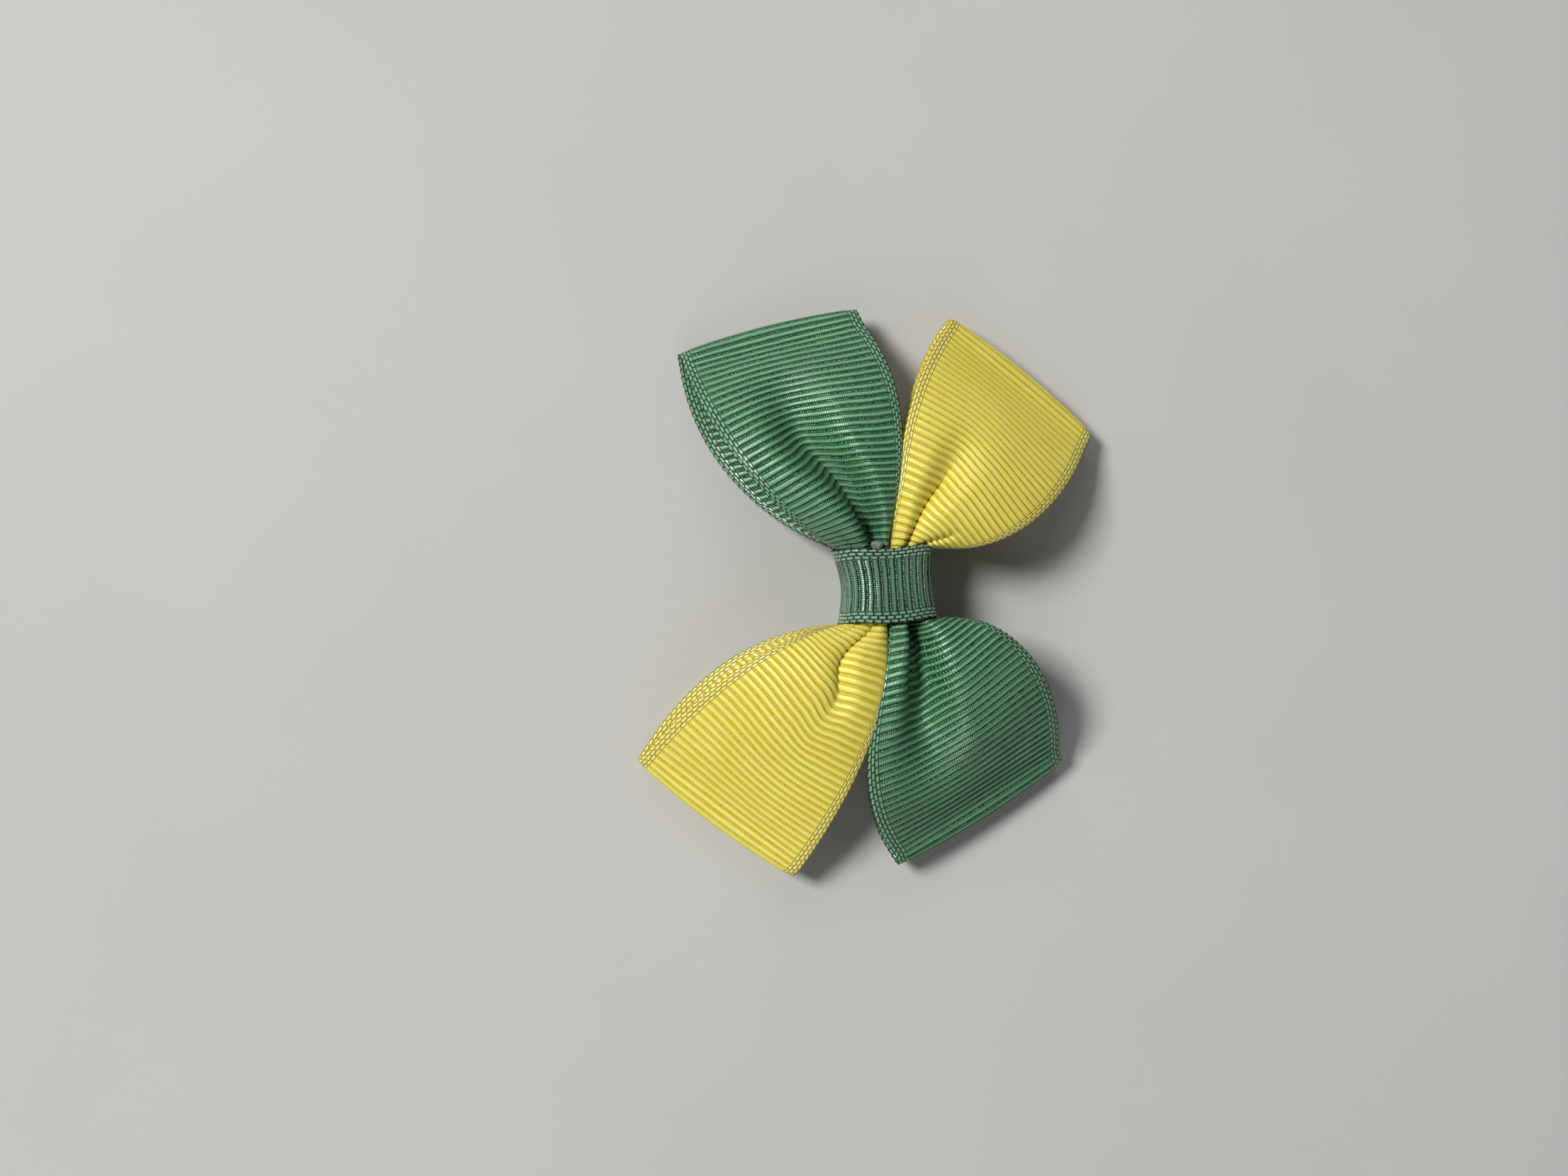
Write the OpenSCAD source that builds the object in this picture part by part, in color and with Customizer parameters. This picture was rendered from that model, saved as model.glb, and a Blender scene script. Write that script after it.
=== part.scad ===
// Small cheer hair bow: two crossed grosgrain loops, pinched by a ribbon wrap on a sprung clip.
// Millimetres. The bow's long axis is Y, its face looks up, and it stands on Z = 0 with the
// middle of its box at X = 0, Y = 0.

/* [Ribbon] */
// Width of the ribbon that makes the two loops
ribbon_w = 25; // [22:0.5:26]
// Thickness of that ribbon where it lies open
ribbon_t = 0.5; // [0.4:0.05:0.6]
// Thickness of one layer where it is bunched in the knot
bunched_t = 1.4; // [1.0:0.05:1.4]

/* [Knot] */
// Where the knot stands beside the middle of the bow's box, along X
knot_x = 0.8; // [0:0.1:1.5]
// Where the knot stands beside the middle of the bow's box, along Y
knot_y = 0.7; // [0:0.1:1.5]
// Height of the middle of the knot
knot_z = 10.9; // [10.9:0.05:11.5]
// Width of one bunched ribbon in the knot
bunch_w = 5.3; // [5.0:0.1:5.3]
// Width of the wrap's own ribbon
wrap_w = 9.5; // [9:0.1:9.5]
// Thickness of the wrap's ribbon
wrap_t = 0.5; // [0.4:0.05:0.6]
// How far the wrap is turned about Z
wrap_turn = 4; // [0:0.5:4]
// Thickness of the binding thread
thread_d = 0.3; // [0.2:0.05:0.3]

/* [Clip] */
// Length of the clip's upper arm
clip_len = 35; // [33:0.5:36]
// Width of the upper arm at the hinge
arm_w = 7; // [6.4:0.1:7]
// Width of the upper arm at its tip
arm_tip_w = 5; // [4:0.1:6]
// Thickness of the clip's sheet steel
steel_t = 0.7; // [0.6:0.05:0.8]
// Height of the upper arm's underside
arm_z = 6.6; // [6.5:0.05:6.6]
// Diameter of the hinge pin
pin_d = 1.2; // [1.0:0.05:1.3]
// Running clearance round the hinge pin, on the radius
pin_gap = 0.05; // [0.03:0.01:0.08]
// Thickness of the spring wire
wire_d = 0.5; // [0.4:0.05:0.55]
// Turns in the spring's coil
coil_turns = 4; // [3:1:4]

/* [Hidden] */

// Colours
green = [0.18, 0.42, 0.27];
yellow = [0.93, 0.86, 0.28];
dark_green = [0.12, 0.33, 0.2];
thread_grey = [0.85, 0.85, 0.82];
glue_white = [0.9, 0.9, 0.86];
steel = [0.75, 0.76, 0.78];
eps = 0.01;

// Mesh of a loop: steps along one layer of a lobe, round a fold, across the knot, over the width
lobe_steps = 10;
fold_steps = 5;
knot_steps = 8;
width_steps = 10;

// Gap between the two layers of a loop where they are pinched together
layer_gap = 0.1;
// Half the distance between the middles of those layers
pinch_h = (bunched_t + layer_gap) / 2;
// Where a lobe starts, just outside the wrap
base_y = 6;
// Middle of a bunched ribbon at the wrap's edge, from the knot's middle
base_x = bunch_w / 2 + 0.2;
// Where the two ribbons have finished crossing, and where they are both level again
cross_y = 4.4;
level_from = 3.4;
level_to = 7;
// How far each ribbon steps up or down to pass over or under the other
cross_h = bunched_t + layer_gap;

// Plan of a lobe's two edges: the wrap, two handles of a curve, and the corner of the fold.
// Outer is the edge away from the bow's long axis. All are from the knot's middle.
green_up = [
    [[-base_x - bunch_w / 2, base_y], [-15.5, 8.5], [-23.5, 18], [-25.7, 28.2]],
    [[-base_x + bunch_w / 2, base_y], [0.9, 15], [3.2, 25], [-2.5, 34.6]]];
green_down = [
    [[base_x + bunch_w / 2, -base_y], [14.5, -3.2], [23.5, -11.5], [24.7, -22.3]],
    [[base_x - bunch_w / 2, -base_y], [0.8, -14], [-4, -26], [2.4, -35.5]]];
yellow_up = [
    [[base_x + bunch_w / 2, base_y], [11.5, 3.2], [21, 8], [28.4, 18.9]],
    [[base_x - bunch_w / 2, base_y], [1.8, 14], [2, 24.5], [9.2, 33.8]]];
yellow_down = [
    [[-base_x - bunch_w / 2, -base_y], [-13, -4.4], [-21.5, -9.5], [-30, -21.4]],
    [[-base_x + bunch_w / 2, -base_y], [0.5, -15], [-3.5, -25], [-9.5, -36.2]]];

// Heights of the same four points of each edge, for the upper and the lower layer
top_outer_z = [knot_z + pinch_h, 15.9, 14.4, 4.3];
top_inner_z = [knot_z + pinch_h, 14.9, 14, 6.2];
low_outer_z = [knot_z - pinch_h, 3.5, -2, 1.2];
low_inner_z = [knot_z - pinch_h, 10.1, 9.1, 3.2];
// The upper layer's crown and its pleat: heights, and the pleat's place and width over the ribbon
crown_h = 1.3;
pleat_h = 1.8;
pleat_at = 0.55;
pleat_w = 0.16;

// Clip: the hinge, its ears and the lever, from the knot's middle
pin_y = -8.5;
pin_z = 4.3;
ear_r = 1.6;
ear_gap = 0.2;
arm_from = -clip_len / 2;
arm_to = clip_len / 2;
arm_ear_x = arm_w / 2 - steel_t;
jaw_w = 2 * (arm_ear_x - ear_gap);
jaw_tip_w = 4.2;
jaw_heel_y = pin_y + 2;
lever_top_y = pin_y - 2;
web_z = 2.7;
lever_z = 0.95;
teeth_from = 7.2;
tooth_pitch = 1.4;
tooth_count = 6;
coil_r = 1.2;
spring_leg_y = pin_y - 5;

function bez(p, t) = pow(1 - t, 3) * p[0] + 3 * pow(1 - t, 2) * t * p[1]
    + 3 * (1 - t) * t * t * p[2] + pow(t, 3) * p[3];
function mix(a, b, t) = a + (b - a) * t;
function clamp01(t) = max(0, min(1, t));
function smooth(t) = let (c = clamp01(t)) c * c * (3 - 2 * c);
function unit(v) = v / norm(v);

// How far along the crossing a point is: 1 inside the knot, 0 where both ribbons are level
function cross_share(y) = smooth((level_to - abs(y)) / (level_to - level_from));

// A point of one layer of a lobe: t runs from the wrap to the fold, w from the outer edge
// to the inner one
function lobe_point(plan, over, top, t, w) =
    let (
        xy = mix(bez(plan[0], t), bez(plan[1], t), w),
        z = top
            ? mix(bez(top_outer_z, t), bez(top_inner_z, t), w)
            : mix(bez(low_outer_z, t), bez(low_inner_z, t), w),
        crown = crown_h * 4 * w * (1 - w) * sin(180 * t),
        pleat = pleat_h * exp(-pow((w - pleat_at) / pleat_w, 2)) * sin(180 * clamp01(2 * t)),
        step = over * cross_h * cross_share(xy.y)
    ) [xy.x, xy.y, z + step + (top ? crown - pleat : 0)];

// A point of the fold: a half turn from the upper layer at angle 90 to the lower one at -90
function fold_point(plan, angle, w) =
    let (
        a = lobe_point(plan, 0, true, 1, w),
        b = lobe_point(plan, 0, false, 1, w),
        r = (a.z - b.z) / 2,
        edge = unit(plan[1][3] - plan[0][3]),
        side = [edge.y, -edge.x],
        away = side * (side * plan[0][3] > 0 ? 1 : -1),
        bow = 0.7 * 4 * w * (1 - w),
        out = (r + bow) * cos(angle)
    ) [a.x + away.x * out, a.y + away.y * out, (a.z + b.z) / 2 + r * sin(angle)];

// A point of one layer between the two lobes, crossing the knot
function knot_point(side, over, top, y, w) =
    let (
        x = side * base_x * sin(90 * clamp01(abs(y) / cross_y)) * sign(y),
        z = knot_z + (top ? pinch_h : -pinch_h) + over * cross_h * cross_share(y)
    ) [x + side * (0.5 - w) * bunch_w, y, z];

// Rows of a loop, all the way round. side is 1 if the upper lobe is on the +X side.
// Inside the knot w counts the same way as in the lobe above, so below it runs the other way.
function loop_rows(up, down, side, over) = concat(
    [for (i = [0:lobe_steps - 1])
        [for (j = [0:width_steps]) lobe_point(up, over, true, i / lobe_steps, j / width_steps)]],
    [for (i = [0:fold_steps])
        [for (j = [0:width_steps]) fold_point(up, 90 - 180 * i / fold_steps, j / width_steps)]],
    [for (i = [1:lobe_steps])
        [for (j = [0:width_steps])
            lobe_point(up, over, false, 1 - i / lobe_steps, j / width_steps)]],
    [for (i = [1:knot_steps - 1])
        [for (j = [0:width_steps])
            knot_point(side, over, false, base_y * (1 - 2 * i / knot_steps), j / width_steps)]],
    [for (i = [0:lobe_steps - 1])
        [for (j = [0:width_steps])
            lobe_point(down, over, false, i / lobe_steps, 1 - j / width_steps)]],
    [for (i = [0:fold_steps])
        [for (j = [0:width_steps])
            fold_point(down, -90 + 180 * i / fold_steps, 1 - j / width_steps)]],
    [for (i = [1:lobe_steps])
        [for (j = [0:width_steps])
            lobe_point(down, over, true, 1 - i / lobe_steps, 1 - j / width_steps)]],
    [for (i = [1:knot_steps - 1])
        [for (j = [0:width_steps])
            knot_point(side, over, true, -base_y * (1 - 2 * i / knot_steps), j / width_steps)]]);

// The sheet is thicker where the same ribbon is bunched into less width
function sheet_t(row) =
    let (w = norm(row[width_steps] - row[0]))
    max(ribbon_t, min(bunched_t, ribbon_t * ribbon_w / w * 0.6));

function row_normal(rows, i, j) =
    let (
        n = len(rows),
        along = rows[(i + 1) % n][j] - rows[(i + n - 1) % n][j],
        across = rows[i][min(j + 1, width_steps)] - rows[i][max(j - 1, 0)]
    ) unit(cross(across, along));

// A closed band of cloth from its middle rows
module band(rows) {
    n = len(rows);
    m = width_steps + 1;
    outside = [for (i = [0:n - 1]) for (j = [0:m - 1])
        rows[i][j] + row_normal(rows, i, j) * sheet_t(rows[i]) / 2];
    inside = [for (i = [0:n - 1]) for (j = [0:m - 1])
        rows[i][j] - row_normal(rows, i, j) * sheet_t(rows[i]) / 2];
    lift = n * m;
    function at(i, j) = (i % n) * m + j;
    skins = [for (i = [0:n - 1]) for (j = [0:m - 2])
        let (a = at(i, j), b = at(i, j + 1), c = at(i + 1, j + 1), d = at(i + 1, j))
        each [[a, c, b], [a, d, c], [lift + a, lift + b, lift + c], [lift + a, lift + c, lift + d]]];
    rims = [for (i = [0:n - 1])
        let (a = at(i, 0), d = at(i + 1, 0), b = at(i, m - 1), c = at(i + 1, m - 1))
        each [[a, lift + d, d], [a, lift + a, lift + d], [b, c, lift + c], [b, lift + c, lift + b]]];
    polyhedron(points = concat(outside, inside), faces = concat(skins, rims));
}

// A round wire along a path, its ends closed
module wire(path, d, sides) {
    n = len(path);
    up = [1, 0, 0];
    rings = [for (i = [0:n - 1])
        let (
            run = unit(path[min(i + 1, n - 1)] - path[max(i - 1, 0)]),
            a = unit(cross(run, norm(cross(run, up)) > 0.2 ? up : [0, 0, 1])),
            b = cross(run, a)
        )
        for (k = [0:sides - 1])
            path[i] + (a * cos(360 * k / sides) + b * sin(360 * k / sides)) * d / 2];
    walls = [for (i = [0:n - 2]) for (k = [0:sides - 1])
        let (a = i * sides + k, b = i * sides + (k + 1) % sides)
        each [[a, b + sides, b], [a, a + sides, b + sides]]];
    start = [[for (k = [0:sides - 1]) k]];
    end = [[for (k = [sides - 1:-1:0]) (n - 1) * sides + k]];
    polyhedron(points = rings, faces = concat(walls, start, end));
}

// Outline of a rounded box with its own corner radius above and below
function round_box(half_w, low, high, r_high, r_low) = concat(
    [for (a = [0:15:90]) [half_w - r_high + r_high * cos(a), high - r_high + r_high * sin(a)]],
    [for (a = [90:15:180]) [r_high - half_w + r_high * cos(a), high - r_high + r_high * sin(a)]],
    [for (a = [180:15:270]) [r_low - half_w + r_low * cos(a), low + r_low + r_low * sin(a)]],
    [for (a = [270:15:360]) [half_w - r_low + r_low * cos(a), low + r_low + r_low * sin(a)]]);

module at_knot() {
    translate([knot_x, knot_y, 0]) children();
}

// A flat shape drawn in Y and Z, given a thickness along X about x
module side_plate(x, t) {
    translate([x - t / 2, 0, 0]) rotate([90, 0, 90]) linear_extrude(t) children();
}

// The green ribbon, which passes over the yellow one inside the knot
module green_loop() {
    color(green) at_knot() band(loop_rows(green_up, green_down, -1, 1));
}

// The yellow ribbon
module yellow_loop() {
    color(yellow) at_knot() band(loop_rows(yellow_up, yellow_down, 1, -1));
}

// Thread that holds the pinch, four turns round both ribbons
thread_turns = 4;
thread_pitch = 0.5;
thread_half_w = 4.1;
thread_low = knot_z - 2 * cross_h - thread_d / 2 - 0.05;
thread_high = knot_z + 2 * cross_h + thread_d / 2 + 0.05;
thread_r = 1.2;
module binding_thread() {
    lap = round_box(thread_half_w, thread_low, thread_high, thread_r, thread_r);
    n = len(lap);
    path = [for (i = [0:thread_turns * n])
        [lap[i % n].x, (i / n - thread_turns / 2) * thread_pitch, lap[i % n].y]];
    color(thread_grey) at_knot() wire(path, thread_d, 6);
}

// The narrow ribbon round the knot and the clip's upper arm
wrap_half_w = 6.05;
wrap_low = arm_z - 0.15;
wrap_high = knot_z + 3.45;
wrap_r_high = 0.8;
wrap_r_low = 1.6;
module knot_wrap() {
    color(dark_green) at_knot() rotate([0, 0, wrap_turn]) rotate([90, 0, 0])
        translate([0, 0, -wrap_w / 2]) linear_extrude(wrap_w) difference() {
            polygon(round_box(wrap_half_w + wrap_t, wrap_low - wrap_t, wrap_high + wrap_t,
                wrap_r_high + wrap_t, wrap_r_low + wrap_t));
            polygon(round_box(wrap_half_w, wrap_low, wrap_high, wrap_r_high, wrap_r_low));
        }
}

// Bead of hot-melt glue that squeezed out between the green pleats, at the wrap's edge
bead_r = 0.55;
bead_at = [-1.9, 5.3, 14];
module wrap_glue_bead() {
    color(glue_white) at_knot() translate(bead_at) sphere(bead_r);
}

// Two pads of glue between the clip's upper arm and the knot
pad_len = 2.4;
pad_from = 1.6;
pad_w = 5.6;
pad_h = 0.55;
module clip_glue() {
    color(glue_white) at_knot() for (side = [-1, 1])
        translate([-pad_w / 2, side > 0 ? pad_from : -pad_from - pad_len, arm_z + steel_t])
            cube([pad_w, pad_len, pad_h]);
}

// Upper arm of the clip, which the wrap holds: a tapered plate with two ears for the pin
module arm_ear() {
    difference() {
        union() {
            translate([pin_y, pin_z]) circle(ear_r, $fn = 48);
            translate([pin_y - ear_r, pin_z]) square([2 * ear_r, arm_z - pin_z + eps]);
        }
        translate([pin_y, pin_z]) circle(pin_d / 2, $fn = 48);
    }
}
module clip_upper_arm() {
    tip_r = 1.5;
    color(steel) at_knot() {
        translate([0, 0, arm_z]) linear_extrude(steel_t) union() {
            polygon([[-arm_w / 2, arm_from + tip_r], [-arm_w / 2 + tip_r, arm_from],
                [arm_w / 2 - tip_r, arm_from], [arm_w / 2, arm_from + tip_r], [arm_w / 2, pin_y + 4],
                [arm_tip_w / 2, arm_to - tip_r], [arm_tip_w / 2 - tip_r, arm_to],
                [tip_r - arm_tip_w / 2, arm_to], [-arm_tip_w / 2, arm_to - tip_r],
                [-arm_w / 2, pin_y + 4]]);
        }
        for (side = [-1, 1])
            side_plate(side * (arm_w - steel_t) / 2, steel_t) arm_ear();
    }
}

// Lower jaw of the clip: a bent strip with two ears, a thumb lever and toothed sides
function web_top(y) = mix(web_z, arm_z - 0.1, (y - jaw_heel_y) / (arm_to - jaw_heel_y));
module jaw_web_side() {
    polygon([[arm_from, lever_z - steel_t], [lever_top_y, web_z - steel_t],
        [jaw_heel_y, web_z - steel_t], [arm_to, arm_z - 0.1 - steel_t], [arm_to, arm_z - 0.1],
        [jaw_heel_y, web_z], [lever_top_y, web_z], [arm_from, lever_z]]);
}
module jaw_plan() {
    half = jaw_w / 2;
    tip = jaw_tip_w / 2;
    polygon([[1.5 - half, arm_from], [half - 1.5, arm_from], [half, arm_from + 1.5],
        [half, pin_y + 4], [tip, arm_to - 1], [tip - 1, arm_to], [1 - tip, arm_to],
        [-tip, arm_to - 1], [-half, pin_y + 4], [-half, arm_from + 1.5]]);
}
module jaw_ear() {
    difference() {
        union() {
            translate([pin_y, pin_z]) circle(ear_r - 0.1, $fn = 48);
            translate([pin_y - ear_r + 0.1, web_z - steel_t])
                square([2 * ear_r - 0.2, pin_z - web_z + steel_t]);
        }
        translate([pin_y, pin_z]) circle(pin_d / 2 + pin_gap, $fn = 48);
    }
}
// Saw teeth along one side of the jaw, from the web up to the arm
module jaw_teeth() {
    crest = arm_z - 0.15;
    polygon(concat(
        [[teeth_from, web_top(teeth_from) - steel_t / 2]],
        [for (i = [0:tooth_count - 1], p = [0, 1])
            [teeth_from + (i + p * 0.5) * tooth_pitch,
                p == 0 ? crest : mix(web_top(teeth_from + (i + 0.5) * tooth_pitch), crest, 0.45)]],
        [[teeth_from + tooth_count * tooth_pitch, web_top(teeth_from + tooth_count * tooth_pitch)],
            [teeth_from + tooth_count * tooth_pitch,
                web_top(teeth_from + tooth_count * tooth_pitch) - steel_t / 2]]));
}
module clip_lower_jaw() {
    side_x = (jaw_w - steel_t) / 2;
    tip_x = (jaw_tip_w - steel_t) / 2 - 0.1;
    color(steel) at_knot() {
        intersection() {
            side_plate(0, jaw_w) jaw_web_side();
            linear_extrude(arm_z) jaw_plan();
        }
        for (side = [-1, 1]) {
            side_plate(side * side_x, steel_t) jaw_ear();
            side_plate(side * tip_x, steel_t) jaw_teeth();
        }
    }
}

// Hinge pin, riveted over at both ends
head_r = 1.0;
head_h = 0.4;
module clip_hinge_pin() {
    color(steel) at_knot() translate([0, pin_y, pin_z]) rotate([0, 90, 0]) {
        translate([0, 0, -arm_w / 2 - eps]) cylinder(d = pin_d, h = arm_w + 2 * eps, $fn = 48);
        for (end = [0, 1])
            mirror([0, 0, end]) translate([0, 0, arm_w / 2]) cylinder(r = head_r, h = head_h, $fn = 48);
    }
}

// Torsion spring on the pin: a coil, one leg under the upper arm, one on the lever
coil_fine = 20;
module clip_spring() {
    coil_w = coil_turns * (wire_d + 0.08);
    up_z = arm_z - wire_d / 2 - 0.02;
    down_z = mix(web_z, lever_z, (lever_top_y - spring_leg_y) / (lever_top_y - arm_from))
        + wire_d / 2 + 0.06;
    coil = [for (i = [0:coil_turns * coil_fine])
        [coil_w * (i / (coil_turns * coil_fine) - 0.5), pin_y + coil_r * sin(360 * i / coil_fine),
            pin_z + coil_r * cos(360 * i / coil_fine)]];
    upper_leg = [[-coil_w / 2, spring_leg_y, up_z], [-coil_w / 2, pin_y - 2.5, up_z - 0.35]];
    lower_leg = [[coil_w / 2, pin_y - 2.5, mix(pin_z - coil_r, down_z, 0.25)],
        [coil_w / 2, spring_leg_y, down_z]];
    half = len(coil) - 1 - coil_fine / 2;
    color(steel) at_knot()
        wire(concat(upper_leg, [for (i = [0:half]) coil[i]], lower_leg), wire_d, 8);
}

green_loop();
yellow_loop();
binding_thread();
knot_wrap();
wrap_glue_bead();
clip_glue();
clip_upper_arm();
clip_lower_jaw();
clip_hinge_pin();
clip_spring();
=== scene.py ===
"""A small cheer hair bow: two crossed grosgrain loops, a ribbon wrap and a sprung alligator clip.

Shapes are worked out in millimetres from the middle of the knot and placed in metres by the
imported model's own nodes. Every ribbon is a closed sheet with real thickness: its middle surface
is drawn first, then its two faces with their woven ribs.
"""
import math
import bmesh
import bpy
import numpy as np
from mathutils import Matrix, Vector, noise


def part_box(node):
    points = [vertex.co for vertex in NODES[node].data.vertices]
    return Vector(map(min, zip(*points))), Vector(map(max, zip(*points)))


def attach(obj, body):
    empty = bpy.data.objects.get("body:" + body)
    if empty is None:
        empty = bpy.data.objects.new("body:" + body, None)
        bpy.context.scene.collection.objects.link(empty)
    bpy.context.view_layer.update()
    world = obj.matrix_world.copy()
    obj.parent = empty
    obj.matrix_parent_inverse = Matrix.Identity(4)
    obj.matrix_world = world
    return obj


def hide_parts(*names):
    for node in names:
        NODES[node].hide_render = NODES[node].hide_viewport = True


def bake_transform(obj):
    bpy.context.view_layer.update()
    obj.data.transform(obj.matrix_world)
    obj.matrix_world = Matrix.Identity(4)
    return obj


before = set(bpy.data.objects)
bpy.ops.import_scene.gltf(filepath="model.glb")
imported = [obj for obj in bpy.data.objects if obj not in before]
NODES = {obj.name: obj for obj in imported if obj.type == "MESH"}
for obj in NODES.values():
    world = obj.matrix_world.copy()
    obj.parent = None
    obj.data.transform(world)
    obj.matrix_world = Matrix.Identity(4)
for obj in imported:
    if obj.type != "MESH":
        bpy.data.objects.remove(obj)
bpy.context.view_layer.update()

# Knot's middle in the shared frame, in millimetres: on the clip's arm in plan, and as far
# below the wrap's top as the crossing of the two strips lies
KNOT_BELOW_TOP = 3.95
ARM_LOW, ARM_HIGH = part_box("clip_upper_arm")
WRAP_LOW, WRAP_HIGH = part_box("knot_wrap")
KNOT_X = (ARM_LOW.x + ARM_HIGH.x) * 500
KNOT_Y = (ARM_LOW.y + ARM_HIGH.y) * 500
KNOT_Z = WRAP_HIGH.z * 1000 - KNOT_BELOW_TOP

# The loops' ribbon: width, thickness, spacing of the ribs, height of a rib, woven edge band
RIBBON_W = 25.0
RIBBON_T = 0.46
RIB = 1.0
RIB_H = 0.2
SELVEDGE = 1.4

# The knot: where a lobe starts, how far its middle is off centre there, width of the bunch,
# distance between one strip's two layers, distance between the two strips
BASE_Y = 4.7
BASE_X = 2.85
BUNCH_W = 5.3
LAYER_GAP = 1.5
STRIP_GAP = 3.0

# How finely a loop is drawn: columns over its width, rows to a rib, and steps of a lobe's
# layer, of the half turn at its fold and of the knot
LOOP_COLUMNS = 53
LOOP_ROWS = 5
LAYER_STEPS = 160
FOLD_STEPS = 40
KNOT_STEPS = 70


# ---------------------------------------------------------------- small maths


def smooth(x):
    """Smooth step from 0 to 1."""
    c = np.clip(x, 0.0, 1.0)
    return c * c * (3 - 2 * c)


def mix(a, b, t):
    """From a at 0 to b at 1."""
    return a + (b - a) * t


def bez(points, t):
    """Cubic curve through one control list, for one number or an array of t."""
    s = 1 - t
    return (s ** 3 * points[0] + 3 * s * s * t * points[1]
            + 3 * s * t * t * points[2] + t ** 3 * points[3])


def to_metres(points):
    """Points in millimetres from the knot's middle in plan, and from the floor in height."""
    return (points + np.array([KNOT_X, KNOT_Y, 0.0])) * 0.001


# ---------------------------------------------------------------- the two loops

# Heights of the upper and the lower layer along a lobe's outer and inner edge, and how much
# higher the upper layer's middle stands at mid lobe
TOP_OUTER = (11.9, 16.4, 15.0, 4.3)
TOP_INNER = (13.7, 15.9, 14.6, 6.2)
LOW_OUTER = (9.0, 3.5, -2.0, 1.2)
LOW_INNER = (8.9, 10.1, 9.1, 3.2)
CROWN = 1.5

# Each lobe has the plan of its outer and inner edge, from the wrap to the corner of the fold,
# how far its upper layer leans over at the inner edge, how wide the main pleat gapes at the wrap
# as a share of its width, and its pleats. A pleat has its place over the width at the wrap, a
# bend of that place near the wrap, its place at the far end, how far along the lobe it reaches,
# its depth in millimetres at the wrap and at mid lobe, and its half width as a share of the
# ribbon. The first pleat is the main one.
GREEN_UP = {
    "outer": ((-6.3, 4.7), (-15.2, 7.6), (-23.3, 17.6), (-25.3, 28.1)),
    "inner": ((-0.1, 4.7), (0.9, 14), (3.4, 25), (-2.1, 34.3)),
    "lean": 0.0,
    "slot": 0.56,
    "pleats": ((0.70, -0.02, 0.42, 0.95, 5.0, 6.2, 0.25),
               (0.30, 0.0, 0.18, 0.30, 0.7, 0.0, 0.2)),
}
GREEN_DOWN = {
    "outer": ((6.4, -4.7), (15.0, -2.6), (22.8, -12.0), (25.5, -22.3)),
    "inner": ((0.2, -4.7), (0.35, -13.5), (-5.2, -26), (2.4, -35.4)),
    "lean": -1.5,
    "slot": 0.56,
    "pleats": ((0.54, 0.03, 0.66, 0.85, 5.0, 5.4, 0.22),
               (0.2, 0.0, 0.1, 0.28, 0.6, 0.0, 0.2)),
}
YELLOW_UP = {
    "outer": ((5.7, 5.3), (11.2, 2.8), (22, 7.3), (29.5, 18.8)),
    "inner": ((0.1, 4.7), (1.8, 13.5), (2, 24.5), (9.3, 33.8)),
    "lean": -1.0,
    "slot": 0.1,
    "pleats": ((0.60, 0.04, 0.62, 0.72, 3.8, 2.7, 0.2),
               (0.36, 0.0, 0.26, 0.27, 3.4, 1.4, 0.13)),
}
YELLOW_DOWN = {
    "outer": ((-5.3, -5.4), (-12.2, -5.2), (-21.5, -9.4), (-30, -21.4)),
    "inner": ((-0.3, -4.7), (0.0, -14.5), (-3.9, -25), (-9.9, -36.7)),
    "lean": 0.0,
    "slot": 0.0,
    "pleats": ((0.68, -0.22, 0.62, 0.52, 3.0, 3.4, 0.19),
               (0.28, 0.0, 0.2, 0.30, 0.5, 0.0, 0.2)),
}


# Where the ribbon's edges are turned down by the wrap: how far down, and over what share of
# the ribbon's width
EDGE_DROP = 2.4
EDGE_REACH = 0.26


def crease(distance, reach, slot=0.0):
    """A rounded wall that drops to a sharp line or a narrow slot: 1 there, 0 at reach from it.
    slot is the share of the reach that lies at full depth."""
    d = np.clip((np.abs(distance) / reach - slot) / (1 - slot), 0.0, 1.0)
    return 1 - np.sqrt(np.maximum(0.0, 1 - (1 - d) ** 2))


def bell(distance, reach):
    """A soft hollow: 1 in the middle, 0 at reach from it."""
    return 0.5 + 0.5 * np.cos(np.pi * np.clip(np.abs(distance) / reach, 0.0, 1.0))


def pleat_place(pleat, t):
    """Where a pleat's deepest line lies over the ribbon's width."""
    at_wrap, bend, at_end, reach = pleat[:4]
    far = smooth(np.clip(t / (reach * 0.62), 0.0, 1.0))
    return mix(at_wrap, at_end, far) + bend * np.sin(np.pi * np.clip(t / 0.36, 0.0, 1.0))


def pleat_drop(lobe, t, w):
    """How far the pleats and the turned-down edges lower the upper layer, in millimetres."""
    drop = np.zeros(np.broadcast(t, w).shape)
    for pleat in lobe["pleats"]:
        slot = lobe["slot"] if pleat is lobe["pleats"][0] else 0.0
        reach, deep, mid_deep, wide = pleat[3:]
        along = np.clip(t / reach, 0.0, 1.0)
        off = w - pleat_place(pleat, t)
        half = mix(min(0.22, wide), wide, smooth(t / 0.35))
        shape = mix(crease(off, half, slot), bell(off, half), smooth((t - 0.12) / 0.4))
        depth = mix(deep, mid_deep, smooth(t / 0.3)) * (1 - smooth((along - 0.3) / 0.7))
        drop = drop + depth * shape
    edge = np.minimum(w, 1 - w)
    turned = EDGE_DROP * (1 - smooth(t / 0.3))
    return drop + turned * crease(edge, EDGE_REACH)


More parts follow.
